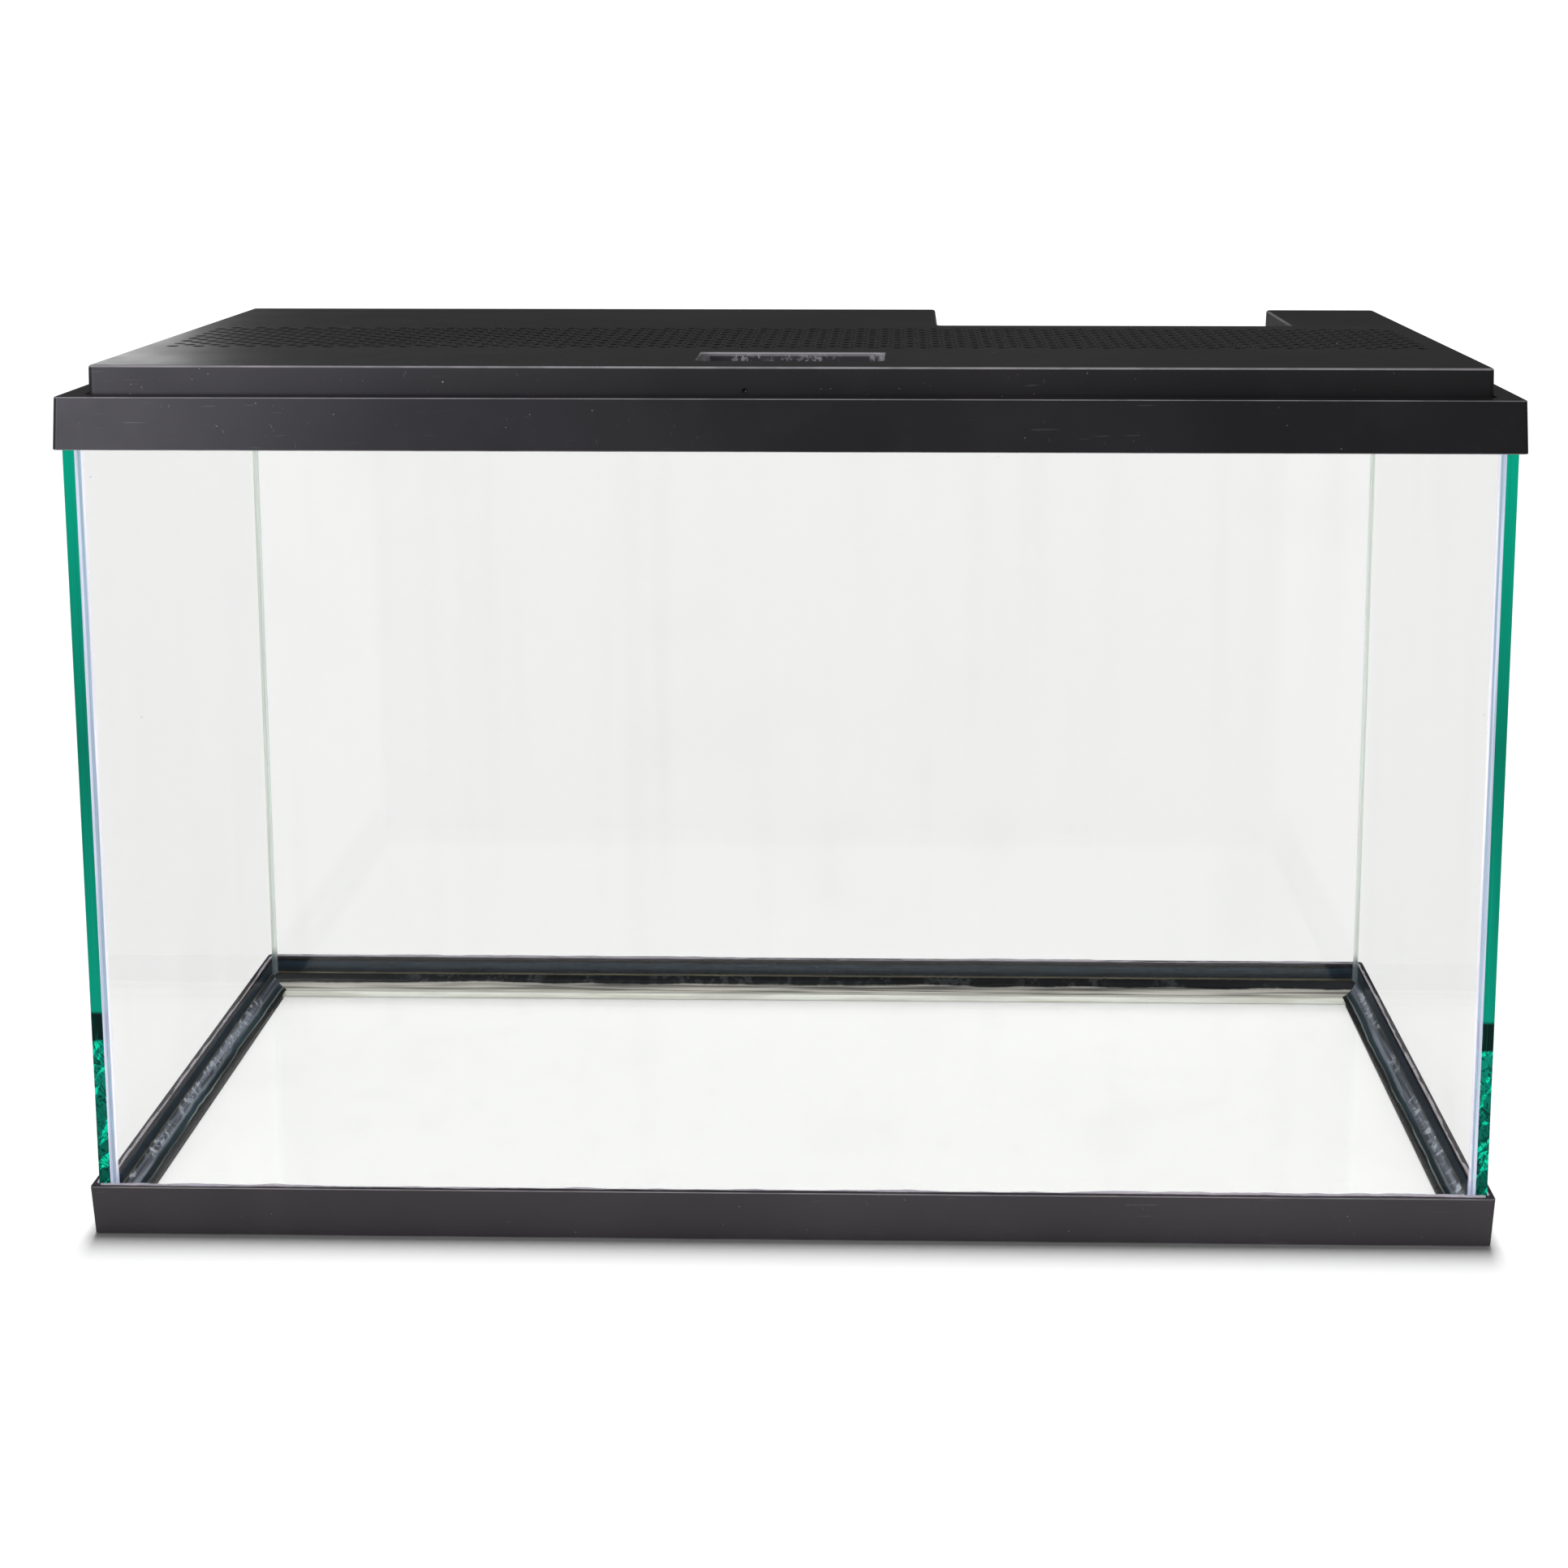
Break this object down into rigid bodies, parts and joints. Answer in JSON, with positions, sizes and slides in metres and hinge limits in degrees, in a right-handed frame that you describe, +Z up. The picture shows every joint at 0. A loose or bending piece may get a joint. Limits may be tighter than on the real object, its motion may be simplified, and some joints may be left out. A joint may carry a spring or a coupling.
{
  "type": "glass aquarium tank",
  "caption": "Rectangular glass aquarium of bonded panes with plastic base and top frames and a lift-off hood with vents, a rear cut-out and a finger pocket.",
  "frame": {"origin": "middle of the footprint, on the surface that the tank stands on", "axes": "+X along the length to the tank's right as seen from the front, +Y to the back, +Z up; the front pane faces -Y"},
  "size_m": [0.6064, 0.3064, 0.378],
  "materials": {
    "black_plastic": "satin, finely scuffed moulded plastic",
    "hood_plastic": "satin moulded plastic with fine dust and scratches",
    "glass": "clear float glass with green edges",
    "clear_silicone": "translucent sealant with small bubbles"
  },
  "bodies": {
    "tank": {"base_frame": "black_plastic", "top_frame": "black_plastic", "floor_pane": "glass", "front_pane": "glass", "back_pane": "glass", "left_pane": "glass", "right_pane": "glass", "floor_seal_front": "clear_silicone", "floor_seal_back": "clear_silicone", "floor_seal_left": "clear_silicone", "floor_seal_right": "clear_silicone", "corner_seal_front_left": "clear_silicone", "corner_seal_front_right": "clear_silicone", "corner_seal_back_left": "clear_silicone", "corner_seal_back_right": "clear_silicone", "base_bed_front": "clear_silicone", "base_bed_back": "clear_silicone", "base_bed_left": "clear_silicone", "base_bed_right": "clear_silicone", "top_bed_front": "clear_silicone", "top_bed_back": "clear_silicone", "top_bed_left": "clear_silicone", "top_bed_right": "clear_silicone"},
    "lid": {"lid": "hood_plastic"}
  },
  "joints": [
    {"name": "lid_lift", "type": "slide", "parent": "tank", "child": "lid", "axis": [0, 0, 1], "range_m": [0, 0.06]}
  ]
}
